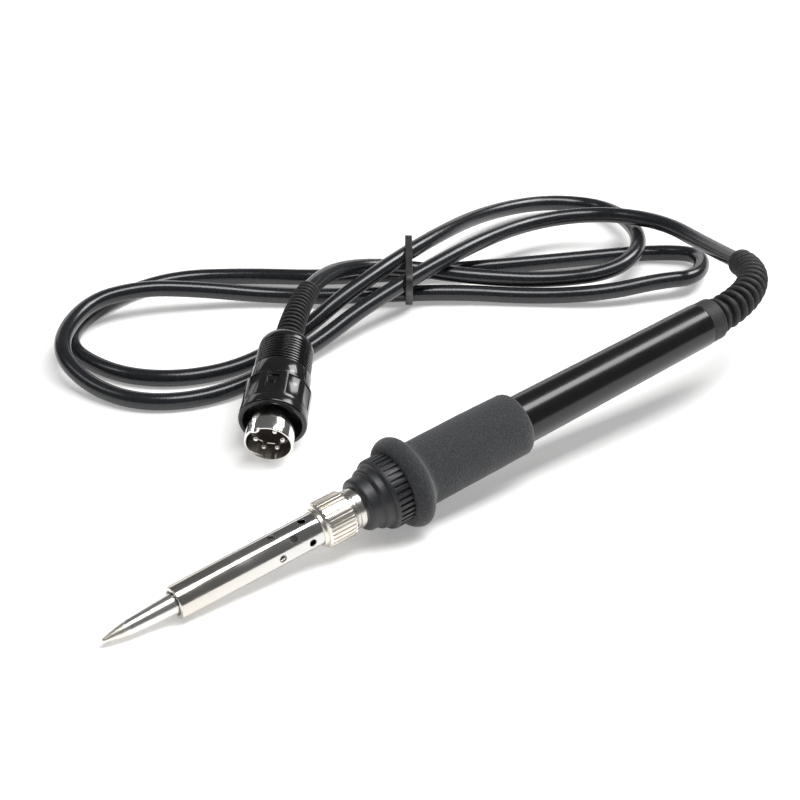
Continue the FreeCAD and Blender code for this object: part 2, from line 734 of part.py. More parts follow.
def plug_wires():
    end = cap_start() + CAP_LENGTH - CAP_LIP - PLUG_TAIL_LENGTH - SOLDER_GAP
    wires = []
    for y, z in pin_places():
        near = V(SHIELD_LENGTH + SOLDER_GAP, y, z)
        far = V(end, y * 0.4, z * 0.4)
        wires.append(Part.makeCylinder(0.5, (far - near).Length, near, far - near))
    return Part.makeCompound(wires)


def boot_bend():
    start = PLUG_PLACE.multVec(V(cap_start() + CAP_LENGTH, 0, 0))
    forward = PLUG_PLACE.Rotation.multVec(V(1, 0, 0))
    side = bend_side(forward, V(0, 0, 1), BOOT_ROLL_DEG)
    return start, forward, side


def plug_boot():
    start, forward, side = boot_bend()
    boot, end, direction = ribbed_bend(start, forward, side, BOOT_BEND_R, BOOT_TURN_DEG,
                                       BOOT_START_R, BOOT_END_R, BOOT_RIBS, BOOT_RIB_DEPTH)
    stub = Part.makeCylinder(BOOT_START_R, CAP_LIP + 0.2, start - forward * CAP_LIP, forward)
    return boot.fuse(stub).removeSplitter(), end, direction


# ---------------------------------------------------------------- build and export
IRON_PARTS = {
    "soldering_tip": soldering_tip,
    "enclosure_pipe": enclosure_pipe,
    "union_nut": union_nut,
    "nose_nipple": nose_nipple,
    "nose_collar": nose_collar,
    "foam_grip": foam_grip,
    "handle_tube": handle_tube,
    "heater_core": heater_core,
    "heater_base": heater_base,
    "heater_leads": heater_leads,
    "terminal_board": terminal_board,
    "board_terminals": board_terminals,
    "cord_wires": cord_wires,
    "ground_clip": ground_clip,
    "handle_cord_tail": handle_cord_tail,
    "cord_clamp": cord_clamp,
}
PLUG_PARTS = {
    "plug_shield": plug_shield,
    "plug_insulator": plug_insulator,
    "plug_pins": plug_pins,
    "plug_lock_ring": plug_lock_ring,
    "plug_body": plug_body,
    "plug_cap": plug_cap,
    "plug_tail": plug_tail,
    "plug_clamp": plug_clamp,
    "plug_wires": plug_wires,
}


def build():
    shapes = {}
    for parts, place in ((IRON_PARTS, IRON_PLACE), (PLUG_PARTS, PLUG_PLACE)):
        for name, make in parts.items():
            shape = make()
            shape.Placement = place.multiply(shape.Placement)
            shapes[name] = shape
    shapes["strain_relief"], cord_start, start_direction = strain_relief()
    shapes["plug_boot"], cord_end, end_direction = plug_boot()
    points = [cord_start] + [V(*p) for p in CORD_POINTS] + [cord_end]
    shapes["cord"] = cord_tube(points, CORD_D)
    shapes["cord_tie"] = cord_tie()
    print("cord starts", cord_start, start_direction)
    print("cord ends", cord_end, end_direction)
    print("iron axis", IRON_PLACE.Base, IRON_PLACE.Rotation.multVec(V(1, 0, 0)), math.degrees(TILT))
    return shapes


def export(shapes):
    os.makedirs("parts", exist_ok=True)
    for name, shape in shapes.items():
        bad = [s for s in shape.Solids if not s.isValid() or s.Volume <= 0]
        box = shape.BoundBox
        print("%-18s solids %d volume %9.1f  z %.2f..%.2f%s" % (
            name, len(shape.Solids), shape.Volume, box.ZMin, box.ZMax, "  BAD" if bad else ""))
        shape.exportStep(os.path.join("parts", name + ".step"))


export(build())
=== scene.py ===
"""Looks of a station soldering iron with a bundled cord and a locking plug, in metres."""
import json
import math

import bpy
from mathutils import Matrix, Vector


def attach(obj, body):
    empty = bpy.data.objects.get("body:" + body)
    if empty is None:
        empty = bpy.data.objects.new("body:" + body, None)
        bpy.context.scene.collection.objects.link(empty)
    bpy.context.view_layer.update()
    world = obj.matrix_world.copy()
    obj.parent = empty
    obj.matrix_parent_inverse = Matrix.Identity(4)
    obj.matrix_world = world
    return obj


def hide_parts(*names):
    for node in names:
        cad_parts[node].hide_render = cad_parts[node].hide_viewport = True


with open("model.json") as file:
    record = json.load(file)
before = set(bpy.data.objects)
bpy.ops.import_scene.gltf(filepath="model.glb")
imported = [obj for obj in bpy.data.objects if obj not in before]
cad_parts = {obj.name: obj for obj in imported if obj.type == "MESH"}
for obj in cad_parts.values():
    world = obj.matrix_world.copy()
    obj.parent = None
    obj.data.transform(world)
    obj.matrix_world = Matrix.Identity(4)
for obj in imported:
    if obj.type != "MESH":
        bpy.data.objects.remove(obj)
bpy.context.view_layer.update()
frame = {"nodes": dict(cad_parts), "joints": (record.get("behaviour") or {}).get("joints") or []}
bpy.ops.object.select_all(action="DESELECT")

MM = 0.001


# ---------------------------------------------------------------- places read from the frame
def joint_line(name, towards_cord):
    """A point on a joint's axis and its direction, turned to point towards the cord."""
    joint = next(j for j in frame["joints"] if j["name"] == name)
    return Vector(joint["pos_m"]), Vector(joint["axis"]).normalized() * towards_cord


IRON_POINT, IRON_AXIS = joint_line("nose_turn", 1)
PLUG_POINT, PLUG_AXIS = joint_line("plug_ring_turn", -1)
IRON_POINT_STATION = 82.0     # millimetres from the tip's end, along the iron
PLUG_POINT_STATION = 15.0     # millimetres from the plug's open face


def iron(station):
    return IRON_POINT + IRON_AXIS * (station - IRON_POINT_STATION) * MM


def plug(station):
    return PLUG_POINT + PLUG_AXIS * (station - PLUG_POINT_STATION) * MM


def standing(point, axis):
    """Matrix that carries the Z axis onto an axis through a point."""
    return Matrix.Translation(point) @ axis.to_track_quat("Z", "Y").to_matrix().to_4x4()


# ---------------------------------------------------------------- camera
CAMERA_PLACE = Vector((-0.24808, -0.33297, 0.29225))
CAMERA_HEADING_DEG = 35.756
CAMERA_DROP_DEG = 31.881
CAMERA_LENS = 88.68


def make_camera():
    data = bpy.data.cameras.new("camera")
    data.lens = CAMERA_LENS
    data.sensor_width = 36.0
    data.clip_start = 0.01
    data.clip_end = 20.0
    camera = bpy.data.objects.new("camera", data)
    bpy.context.scene.collection.objects.link(camera)
    camera.location = CAMERA_PLACE
    camera.rotation_euler = (math.radians(90 - CAMERA_DROP_DEG), 0, math.radians(-CAMERA_HEADING_DEG))
    bpy.context.scene.camera = camera


make_camera()

# ---------------------------------------------------------------- cord
CORD_D = 4.9 * MM
CORD_EXIT = (131.20, 24.05, 22.01)
CORD_END = (21.26, 85.67, 20.32)
CORD_POINTS = [
    (137.5, 44.5, 17.0), (141.0, 66.5, 14.8), (133.5, 88.0, 11.4), (112.0, 97.0, 10.8), (81.5, 90.0, 14.2),
    (40.5, 85.0, 9.4), (19.0, 81.0, 4.2), (-12.5, 75.5, 2.5), (-34.0, 83.5, 2.5), (-43.5, 101.0, 3.2),
    (-44.0, 119.5, 7.8), (-25.0, 136.0, 8.4), (-8.0, 134.0, 8.8), (7.0, 127.5, 6.6), (26.0, 117.0, 3.0),
    (42.0, 103.0, 3.6), (72.0, 85.5, 3.6), (92.5, 69.0, 2.5), (109.5, 55.5, 4.6), (124.5, 50.0, 6.2),
    (137.0, 45.0, 5.8), (151.5, 58.5, 3.6), (140.0, 71.0, 2.5), (113.0, 83.0, 2.5), (82.0, 95.5, 3.6),
    (47.0, 114.0, 3.6), (29.0, 131.5, 2.5), (7.5, 145.0, 2.5), (-18.5, 142.0, 2.5), (-38.0, 128.0, 2.5),
    (-34.5, 104.5, 2.5), (-21.0, 90.5, 2.5), (-1.5, 85.5, 2.5), (19.5, 88.5, 5.0), (38.0, 89.5, 13.2),
    (75.0, 100.0, 14.8), (108.5, 115.0, 8.0), (136.0, 115.0, 4.2), (149.5, 98.0, 4.2), (135.0, 68.0, 9.4),
    (116.0, 58.0, 8.8), (98.5, 71.0, 5.2), (77.5, 84.5, 7.5), (65.0, 98.5, 8.4), (48.0, 100.5, 13.4),
    (29.9, 91.8, 20.0),
]


def make_cord():
    data = bpy.data.curves.new("cord_jacket", "CURVE")
    data.dimensions = "3D"
    spline = data.splines.new("NURBS")
    route = [CORD_EXIT] + CORD_POINTS + [CORD_END]
    spline.points.add(len(route) - 1)
    for point, place in zip(spline.points, route):
        point.co = (place[0] * MM, place[1] * MM, place[2] * MM, 1)
    spline.order_u = 3
    spline.use_endpoint_u = True
    spline.resolution_u = 14
    data.bevel_depth = CORD_D / 2
    data.bevel_resolution = 7
    data.use_fill_caps = True
    jacket = bpy.data.objects.new("cord_jacket", data)
    bpy.context.scene.collection.objects.link(jacket)
    return jacket


cord = make_cord()


# ---------------------------------------------------------------- modelling helpers
def select_only(obj):
    bpy.ops.object.select_all(action="DESELECT")
    obj.select_set(True)
    bpy.context.view_layer.objects.active = obj


def apply_all(obj):
    select_only(obj)
    for modifier in list(obj.modifiers):
        bpy.ops.object.modifier_apply(modifier=modifier.name)


def add_bevel(obj, width):
    bevel = obj.modifiers.new("edges", "BEVEL")
    bevel.width = width
    bevel.segments = 2
    bevel.limit_method = "ANGLE"
    bevel.angle_limit = math.radians(32)


def smooth(obj, angle_deg=38):
    select_only(obj)
    bpy.ops.object.shade_smooth_by_angle(angle=math.radians(angle_deg))


def settle(obj, matrix):
    """Puts the place into the mesh, so that the object itself stays at the origin."""
    obj.data.transform(matrix @ obj.matrix_world)
    obj.matrix_world = Matrix.Identity(4)
    return obj


def arc(centre, radius, start_deg, end_deg, steps):
    """Points (station, radius) on an arc; 0 degrees points along the axis and 90 outwards."""
    points = []
    for i in range(steps + 1):
        angle = math.radians(start_deg + (end_deg - start_deg) * i / steps)
        points.append((centre[0] + radius * math.cos(angle), centre[1] + radius * math.sin(angle)))
    return points


def turned(name, outline, segments=96, closed=True):
    """Ring extruded and scaled along an outline of (station, radius) pairs in millimetres, about Z.
    A closed outline is a sleeve; an open one has its end rings filled."""
    bpy.ops.object.select_all(action="DESELECT")
    start = outline[0]
    bpy.ops.mesh.primitive_circle_add(vertices=segments, radius=start[1] * MM, fill_type="NOTHING",
                                      location=(0, 0, start[0] * MM))
    obj = bpy.context.object
    obj.name = name
    obj.data.name = name
    bpy.ops.object.transform_apply(location=True, rotation=False, scale=False)
    bpy.ops.object.mode_set(mode="EDIT")
    bpy.ops.mesh.select_all(action="SELECT")
    if not closed:
        bpy.ops.mesh.edge_face_add()
    here = start
    for step in outline[1:] + ([start] if closed else []):
        bpy.ops.mesh.extrude_edges_move(TRANSFORM_OT_translate={"value": (0, 0, (step[0] - here[0]) * MM)})
        share = step[1] / here[1]
        bpy.ops.transform.resize(value=(share, share, 1), center_override=(0, 0, step[0] * MM))
        here = step
    if not closed:
        bpy.ops.mesh.edge_face_add()
    bpy.ops.mesh.select_all(action="SELECT")
    bpy.ops.mesh.remove_doubles(threshold=1e-6)
    bpy.ops.mesh.normals_make_consistent(inside=False)
    bpy.ops.object.mode_set(mode="OBJECT")
    return obj


def joined(name, objects):
    bpy.ops.object.select_all(action="DESELECT")
    for obj in objects:
        obj.select_set(True)
    bpy.context.view_layer.objects.active = objects[0]
    bpy.ops.object.join()
    objects[0].name = name
    objects[0].data.name = name
    return objects[0]


def eased_copy(name, node, width):
    """Copy of a CAD node with its loose triangles merged and its hard edges eased."""
    obj = frame["nodes"][node].copy()
    obj.data = obj.data.copy()
    for key in list(obj.keys()):
        del obj[key]
    obj.parent = None
    obj.name = name
    obj.data.name = name
    obj.data.materials.clear()
    bpy.context.scene.collection.objects.link(obj)
    select_only(obj)
    bpy.ops.object.mode_set(mode="EDIT")
    bpy.ops.mesh.select_all(action="SELECT")
    bpy.ops.mesh.customdata_custom_splitnormals_clear()
    bpy.ops.mesh.remove_doubles(threshold=2e-6)
    bpy.ops.mesh.dissolve_limited(angle_limit=math.radians(1.0))
    bpy.ops.object.mode_set(mode="OBJECT")
    if width > 0:
        add_bevel(obj, width)
        apply_all(obj)
    smooth(obj)
    return obj


# ---------------------------------------------------------------- shader groups
def new_group(name, inputs, outputs):
    group = bpy.data.node_groups.new(name, "ShaderNodeTree")
    for label, kind, default in inputs:
        socket = group.interface.new_socket(name=label, in_out="INPUT", socket_type=kind)
        if default is not None:
            socket.default_value = default
    for label, kind in outputs:
        group.interface.new_socket(name=label, in_out="OUTPUT", socket_type=kind)
    return group, group.nodes.new("NodeGroupInput"), group.nodes.new("NodeGroupOutput")


def grain_group():
    """Fine moulded or foamed grain: a height for bump and a mask for colour."""
    group, given, out = new_group(
        "surface_grain",
        [("Vector", "NodeSocketVector", None), ("Scale", "NodeSocketFloat", 900.0),
         ("Pits", "NodeSocketFloat", 0.5)],
        [("Height", "NodeSocketFloat"), ("Mask", "NodeSocketFloat")])
    link = group.links.new
    noise = group.nodes.new("ShaderNodeTexNoise")
    noise.inputs["Detail"].default_value = 5.0
    noise.inputs["Roughness"].default_value = 0.62
    cells = group.nodes.new("ShaderNodeTexVoronoi")
    cells.feature = "SMOOTH_F1"
    cells.inputs["Smoothness"].default_value = 0.4
    mix = group.nodes.new("ShaderNodeMix")
    ramp = group.nodes.new("ShaderNodeMapRange")
    ramp.inputs["From Min"].default_value = 0.38
    ramp.inputs["From Max"].default_value = 0.66
    for texture in (noise, cells):
        link(given.outputs["Vector"], texture.inputs["Vector"])
        link(given.outputs["Scale"], texture.inputs["Scale"])
    link(given.outputs["Pits"], mix.inputs["Factor"])
    link(noise.outputs["Fac"], mix.inputs[2])
    link(cells.outputs["Distance"], mix.inputs[3])
    link(mix.outputs[0], out.inputs["Height"])
    link(noise.outputs["Fac"], ramp.inputs["Value"])
    link(ramp.outputs["Result"], out.inputs["Mask"])
    return group


def handling_group():
    """Smudges and faint rubs left by handling, as a mask for roughness and colour."""
    group, given, out = new_group(
        "handling_marks",
        [("Vector", "NodeSocketVector", None), ("Scale", "NodeSocketFloat", 60.0),
         ("Amount", "NodeSocketFloat", 0.5)],
        [("Mask", "NodeSocketFloat")])
    link = group.links.new
    broad = group.nodes.new("ShaderNodeTexNoise")
    broad.inputs["Detail"].default_value = 3.0
    fine = group.nodes.new("ShaderNodeTexNoise")
    fine.inputs["Scale"].default_value = 420.0
    fine.inputs["Detail"].default_value = 6.0
    soft = group.nodes.new("ShaderNodeMapRange")
    soft.inputs["From Min"].default_value = 0.42
    soft.inputs["From Max"].default_value = 0.72
    both = group.nodes.new("ShaderNodeMath")
    both.operation = "MULTIPLY"
    amount = group.nodes.new("ShaderNodeMath")
    amount.operation = "MULTIPLY"
    link(given.outputs["Vector"], broad.inputs["Vector"])
    link(given.outputs["Vector"], fine.inputs["Vector"])
    link(given.outputs["Scale"], broad.inputs["Scale"])
    link(broad.outputs["Fac"], soft.inputs["Value"])
    link(soft.outputs["Result"], both.inputs[0])
    link(fine.outputs["Fac"], both.inputs[1])
    link(both.outputs["Value"], amount.inputs[0])
    link(given.outputs["Amount"], amount.inputs[1])
    link(amount.outputs["Value"], out.inputs["Mask"])
    return group


def streak_group():
    """Fine lines round an axis, as turning and polishing leave them."""
    group, given, out = new_group(
        "turning_lines",
        [("Vector", "NodeSocketVector", None), ("Pitch", "NodeSocketFloat", 4000.0)],
        [("Height", "NodeSocketFloat")])
    link = group.links.new
    split = group.nodes.new("ShaderNodeSeparateXYZ")
    lines = group.nodes.new("ShaderNodeTexNoise")
    lines.noise_dimensions = "1D"
    lines.inputs["Detail"].default_value = 3.0
    link(given.outputs["Vector"], split.inputs["Vector"])
    link(split.outputs["Z"], lines.inputs["W"])
    link(given.outputs["Pitch"], lines.inputs["Scale"])
    link(lines.outputs["Fac"], out.inputs["Height"])
    return group


GRAIN = grain_group()
HANDLING = handling_group()
TURNING = streak_group()


# ---------------------------------------------------------------- material helpers
class Finish:
    """A material under construction: its tree, its shader and its coordinates."""

    def __init__(self, name, color, roughness, metallic=0.0, **sockets):
        self.material = bpy.data.materials.new(name)
        self.material.use_nodes = True
        self.nodes = self.material.node_tree.nodes
        self.link = self.material.node_tree.links.new
        self.shader = self.nodes["Principled BSDF"]
        self.shader.inputs["Base Color"].default_value = (*color, 1)
        self.shader.inputs["Roughness"].default_value = roughness
        self.shader.inputs["Metallic"].default_value = metallic
        for label, value in sockets.items():
            self.shader.inputs[label.replace("_", " ")].default_value = value
        self.where = self.nodes.new("ShaderNodeTexCoord").outputs["Object"]
        self.material.diffuse_color = (*color, 1)

    def along(self, matrix):
        """Coordinates along a turned piece: its own frame, with Z on its axis."""
        back = matrix.inverted()
        mapping = self.nodes.new("ShaderNodeMapping")
        mapping.inputs["Location"].default_value = back.to_translation()
        mapping.inputs["Rotation"].default_value = back.to_euler()
        self.link(self.where, mapping.inputs["Vector"])
        self.where = mapping.outputs["Vector"]
        return self

    def place(self, group, **values):
        node = self.nodes.new("ShaderNodeGroup")
        node.node_tree = group
        self.link(self.where, node.inputs["Vector"])
        for label, value in values.items():
            node.inputs[label].default_value = value
        return node

    def bump(self, height, strength, distance):
        node = self.nodes.new("ShaderNodeBump")
        node.inputs["Strength"].default_value = strength
        node.inputs["Distance"].default_value = distance
        self.link(height, node.inputs["Height"])
        if self.shader.inputs["Normal"].is_linked:
            self.link(self.shader.inputs["Normal"].links[0].from_socket, node.inputs["Normal"])
        self.link(node.outputs["Normal"], self.shader.inputs["Normal"])
        return self

    def vary(self, socket, mask, low, high):
        """Moves a value or colour of the shader between low and high with a mask."""
        node = self.nodes.new("ShaderNodeMix")
        if isinstance(low, tuple):
            node.data_type = "RGBA"
            node.inputs[6].default_value = (*low, 1)
            node.inputs[7].default_value = (*high, 1)
            result = node.outputs[2]
        else:
            node.inputs[2].default_value = low
            node.inputs[3].default_value = high
            result = node.outputs[0]
        self.link(mask, node.inputs["Factor"])
        self.link(result, self.shader.inputs[socket])
        return self


def plastic(name, color, roughness, rub, grain_scale, grain_depth, **sockets):
    """Moulded plastic: a fine grain, and handling marks that dull the gloss."""
    finish = Finish(name, color, roughness, **sockets)
    marks = finish.place(HANDLING, Scale=55.0, Amount=1.0)
    finish.vary("Roughness", marks.outputs["Mask"], roughness, min(1.0, roughness + rub))
    grain = finish.place(GRAIN, Scale=grain_scale, Pits=0.2)
    return finish.bump(grain.outputs["Height"], 0.25, grain_depth)


PLATE_PITCH = 3500.0        # turning lines on plated pieces
PLATE_DEPTH = 0.002 * MM
PLATE_BUMP = 0.35


def plated(name, color, shade, roughness, matrix, pitch=PLATE_PITCH):
    """Plated or polished metal with turning lines round its axis and faint tarnish."""
    finish = Finish(name, color, roughness, 1.0).along(matrix)
    marks = finish.place(HANDLING, Scale=90.0, Amount=1.3)
    finish.vary("Base Color", marks.outputs["Mask"], color, shade)
    finish.vary("Roughness", marks.outputs["Mask"], roughness, roughness + 0.16)
    lines = finish.place(TURNING, Pitch=pitch)
    return finish.bump(lines.outputs["Height"], PLATE_BUMP, PLATE_DEPTH)


IRON_FRAME = standing(iron(0), IRON_AXIS)
PLUG_FRAME = standing(plug(0), PLUG_AXIS)


def tip_finish():
    """Bright plate on the shank and cone, with solder left on the last few millimetres."""
    finish = Finish("tip_plate", (0.84, 0.83, 0.80), 0.26, 1.0).along(IRON_FRAME)
    lines = finish.place(TURNING, Pitch=PLATE_PITCH)
    finish.bump(lines.outputs["Height"], PLATE_BUMP, PLATE_DEPTH)
    split = finish.nodes.new("ShaderNodeSeparateXYZ")
    finish.link(finish.where, split.inputs["Vector"])
    ragged = finish.nodes.new("ShaderNodeTexNoise")
    ragged.inputs["Scale"].default_value = 700.0
    finish.link(finish.where, ragged.inputs["Vector"])
    edge = finish.nodes.new("ShaderNodeMath")
    edge.operation = "MULTIPLY_ADD"
    finish.link(ragged.outputs["Fac"], edge.inputs[0])
    edge.inputs[1].default_value = 3.0 * MM
    finish.link(split.outputs["Z"], edge.inputs[2])
    tinned = finish.nodes.new("ShaderNodeMapRange")
    tinned.inputs["From Min"].default_value = 8.3 * MM
    tinned.inputs["From Max"].default_value = 7.7 * MM
    finish.link(edge.outputs["Value"], tinned.inputs["Value"])
    finish.vary("Base Color", tinned.outputs["Result"], (0.82, 0.81, 0.78), (0.86, 0.83, 0.74))
    finish.vary("Roughness", tinned.outputs["Result"], 0.26, 0.34)
    lumps = finish.nodes.new("ShaderNodeTexNoise")
    lumps.inputs["Scale"].default_value = 900.0
    finish.link(finish.where, lumps.inputs["Vector"])
    height = finish.nodes.new("ShaderNodeMath")
    height.operation = "MULTIPLY"
    finish.link(lumps.outputs["Fac"], height.inputs[0])
    finish.link(tinned.outputs["Result"], height.inputs[1])
    return finish.bump(height.outputs["Value"], 0.3, 0.1 * MM)


def pipe_finish():
    """Polished steel, a shade warmer where the heat has reached it."""
    finish = plated("pipe_steel", (0.70, 0.69, 0.67), (0.58, 0.56, 0.52), 0.15, IRON_FRAME, 2200.0)
    split = finish.nodes.new("ShaderNodeSeparateXYZ")
    finish.link(finish.where, split.inputs["Vector"])
    heat = finish.nodes.new("ShaderNodeMapRange")
    heat.inputs["From Min"].default_value = 58.0 * MM
    heat.inputs["From Max"].default_value = 22.0 * MM
    finish.link(split.outputs["Z"], heat.inputs["Value"])
    return finish.vary("Base Color", heat.outputs["Result"], (0.70, 0.69, 0.675), (0.71, 0.675, 0.62))


def foam_finish():
    """Closed-cell foam: matte, pitted and slightly lighter on its high spots."""
    finish = Finish("grip_foam", (0.04, 0.041, 0.044), 0.93, Sheen_Weight=0.25, Sheen_Roughness=0.5,
                    Specular_IOR_Level=0.3)
    grain = finish.place(GRAIN, Scale=2100.0, Pits=0.55)
    coarse = finish.place(GRAIN, Scale=900.0, Pits=0.4)
    finish.vary("Base Color", grain.outputs["Mask"], (0.028, 0.029, 0.031), (0.058, 0.060, 0.064))
    finish.bump(coarse.outputs["Height"], 0.55, 0.22 * MM)
    return finish.bump(grain.outputs["Height"], 0.9, 0.20 * MM)


def rubber_finish():
    """Moulded rubber with a dusty, speckled skin."""
    finish = Finish("relief_rubber", (0.022, 0.022, 0.024), 0.62, Specular_IOR_Level=0.4)
    grain = finish.place(GRAIN, Scale=1100.0, Pits=0.35)
    finish.vary("Base Color", grain.outputs["Mask"], (0.017, 0.017, 0.018), (0.034, 0.034, 0.036))
    return finish.bump(grain.outputs["Height"], 0.55, 0.10 * MM)


def cord_finish():
    """Satin PVC with faint flow marks from extrusion and a little dust."""
    finish = Finish("cord_pvc", (0.013, 0.014, 0.017), 0.24, Specular_IOR_Level=0.55)
    marks = finish.place(HANDLING, Scale=70.0, Amount=1.0)
    finish.vary("Roughness", marks.outputs["Mask"], 0.20, 0.32)
    grain = finish.place(GRAIN, Scale=700.0, Pits=0.15)
    finish.vary("Base Color", grain.outputs["Mask"], (0.011, 0.012, 0.015), (0.017, 0.018, 0.021))
    return finish.bump(grain.outputs["Height"], 0.15, 0.02 * MM)


def board_finish():
    """Glass-fibre board: green mask over darker tracks."""
    finish = Finish("board_green", (0.03, 0.16, 0.06), 0.35, Coat_Weight=0.4)
    finish.along(IRON_FRAME)
    tracks = finish.nodes.new("ShaderNodeTexBrick")
    tracks.inputs["Scale"].default_value = 260.0
    tracks.inputs["Color1"].default_value = (0.02, 0.14, 0.05, 1)
    tracks.inputs["Color2"].default_value = (0.03, 0.19, 0.07, 1)
    tracks.inputs["Mortar"].default_value = (0.07, 0.26, 0.10, 1)
    finish.link(finish.where, tracks.inputs["Vector"])
    finish.link(tracks.outputs["Color"], finish.shader.inputs["Base Color"])
    return finish


FINISHES = {
    "tip": tip_finish(),
    "pipe": pipe_finish(),
    "nut": plated("nut_nickel", (0.86, 0.82, 0.76), (0.72, 0.67, 0.58), 0.26, IRON_FRAME),
    "nipple": plated("nipple_nickel", (0.72, 0.70, 0.66), (0.52, 0.50, 0.46), 0.22, IRON_FRAME),
    "collar": plastic("collar_black", (0.020, 0.021, 0.024), 0.40, 0.22, 1300.0, 0.05 * MM),
    "handle": plastic("handle_black", (0.007, 0.007, 0.008), 0.20, 0.14, 500.0, 0.008 * MM),
    "foam": foam_finish(),
    "relief": rubber_finish(),
    "cord": cord_finish(),
    "tie": plastic("tie_black", (0.020, 0.020, 0.021), 0.45, 0.2, 900.0, 0.06 * MM),
    "plug": plastic("plug_black", (0.010, 0.010, 0.011), 0.12, 0.16, 800.0, 0.01 * MM),
    "chrome": plated("plug_chrome", (0.86, 0.85, 0.83), (0.66, 0.63, 0.57), 0.09, PLUG_FRAME, 1500.0),
    "insulator": plastic("insulator_brown", (0.022, 0.012, 0.008), 0.7, 0.2, 900.0, 0.04 * MM),
    "pin": plated("pin_silver", (0.88, 0.87, 0.84), (0.70, 0.67, 0.60), 0.14, PLUG_FRAME),
    "ceramic": plastic("ceramic_white", (0.80, 0.78, 0.72), 0.55, 0.2, 900.0, 0.05 * MM),
    "board": board_finish(),
    "tinned": plated("tinned_copper", (0.70, 0.66, 0.58), (0.50, 0.44, 0.35), 0.32, IRON_FRAME),
    "wire": plastic("wire_insulation", (0.40, 0.05, 0.03), 0.42, 0.2, 700.0, 0.03 * MM),
    "clip": plated("clip_steel", (0.62, 0.61, 0.59), (0.45, 0.43, 0.40), 0.3, IRON_FRAME),
}


def dress(obj, finish):
    obj.data.materials.clear()
    obj.data.materials.append(FINISHES[finish].material)
    return obj


def stand_for(obj, body, finish, slot, *nodes):
    """Gives a finished piece its material and its body, and hides the nodes that it replaces; slot is not
    used.
    """
    dress(obj, finish)
    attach(obj, body)
    if nodes:
        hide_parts(*nodes)
    return obj


def eased_piece(name, node, width, body, finish, slot):
    """Stand-in for one CAD node, which keeps its shape and has its edges eased by width in millimetres."""
    return stand_for(eased_copy(name, node, width * MM), body, finish, slot, node)


# ---------------------------------------------------------------- foam grip
GRIP_FRONT = 84.3
GRIP_CROWN = 87.1
GRIP_CROWN_R = 12.4
GRIP_CROWN_ROUND = 2.9
GRIP_BLEND_R = 2.5
GRIP_R = 8.75
GRIP_END = 124.0
GRIP_END_ROUND = 2.0
GRIP_BORE_R = 6.67
GRIP_RIM_EASE = 0.17        # keeps the uneven rim above the floor
FOAM_LUMP_SIZE = 6.0
FOAM_LUMP_HEIGHT = 0.28


def make_grip():
    """Flanged sleeve with soft edges; a slight unevenness keeps it from looking turned."""
    front_r = GRIP_CROWN_R - GRIP_CROWN_ROUND
    rim = GRIP_CROWN_ROUND - GRIP_RIM_EASE
    rise = GRIP_R + GRIP_BLEND_R - front_r
    reach = math.sqrt((rim + GRIP_BLEND_R) ** 2 - rise ** 2)
    lean = math.degrees(math.atan2(rise, reach))
    waist = GRIP_CROWN + reach
    outline = [(GRIP_FRONT + 0.5, GRIP_BORE_R), (GRIP_FRONT + 0.1, GRIP_BORE_R + 0.6),
               (GRIP_FRONT, GRIP_BORE_R + 1.4), (GRIP_FRONT, front_r - 0.9)]
    outline += arc((GRIP_CROWN, front_r), rim, 164, lean, 14)
    outline += arc((waist, GRIP_R + GRIP_BLEND_R), GRIP_BLEND_R, 180 + lean, 268, 9)
    length = GRIP_END - GRIP_END_ROUND - waist
    for i in range(1, 13):
        share = i / 12
        swell = 0.10 * math.sin(math.pi * share)
        outline.append((waist + length * share, GRIP_R - 0.13 * share + swell - 0.1))
    rear = (GRIP_END - GRIP_END_ROUND - 0.1, GRIP_R - 0.27 - GRIP_END_ROUND)
    outline += arc(rear, GRIP_END_ROUND, 84, 0, 8)
    outline += [(GRIP_END - 0.1, GRIP_BORE_R + 0.1)]
    grip = turned("foam_sleeve", outline, 128)
    lumps = bpy.data.textures.new("foam_lumps", "CLOUDS")
    lumps.noise_scale = FOAM_LUMP_SIZE * MM
    lumps.noise_depth = 2
    push = grip.modifiers.new("lumps", "DISPLACE")
    push.texture = lumps
    push.texture_coords = "LOCAL"
    push.mid_level = 0.62
    push.strength = FOAM_LUMP_HEIGHT * MM
    apply_all(grip)
    settle(grip, IRON_FRAME)
    smooth(grip, 60)
    return grip


# ---------------------------------------------------------------- ribbed sleeves
def bend_of(start, forward, end):
    """Radius, angle and side of the arc that leaves start along forward and reaches end."""
    reach = end - start
    ahead = reach.dot(forward)
    side = reach - forward * ahead
    out = side.length
    turn = 2 * math.atan2(out, ahead)
    return out / (1 - math.cos(turn)), turn, side.normalized()


def rib_outline(radius, bore, thickness):
    """Disc with a rounded edge, as a closed outline about its middle."""
    edge = thickness * 0.5
    rim = arc((0, radius - edge), edge, 180, 0, 6)
    return [(-edge, bore)] + rim + [(edge, bore)]


def ribbed_sleeve(name, start, forward, end, ribs, start_r, end_r, core_r, rib_share):
    """Bent sleeve: a core along an arc, and ribs that shrink towards its end."""
    radius, turn, side = bend_of(start, forward, end)

    def at(angle):
        place = start + forward * (radius * math.sin(angle)) + side * (radius * (1 - math.cos(angle)))
        return standing(place, forward * math.cos(angle) + side * math.sin(angle))

    pieces = []
    pitch = turn / ribs
    for i in range(ribs):
        share = i / (ribs - 1)
        rib_r = start_r + (end_r - start_r) * share
        thickness = radius * pitch * rib_share / MM
        rib = turned("rib", rib_outline(rib_r, core_r - 0.4, thickness), 56)
        pieces.append(settle(rib, at(pitch * (i + 0.5))))
    pieces.append(swept_core(at(0), start + side * radius, forward.cross(side), turn, core_r))
    return joined(name, pieces)


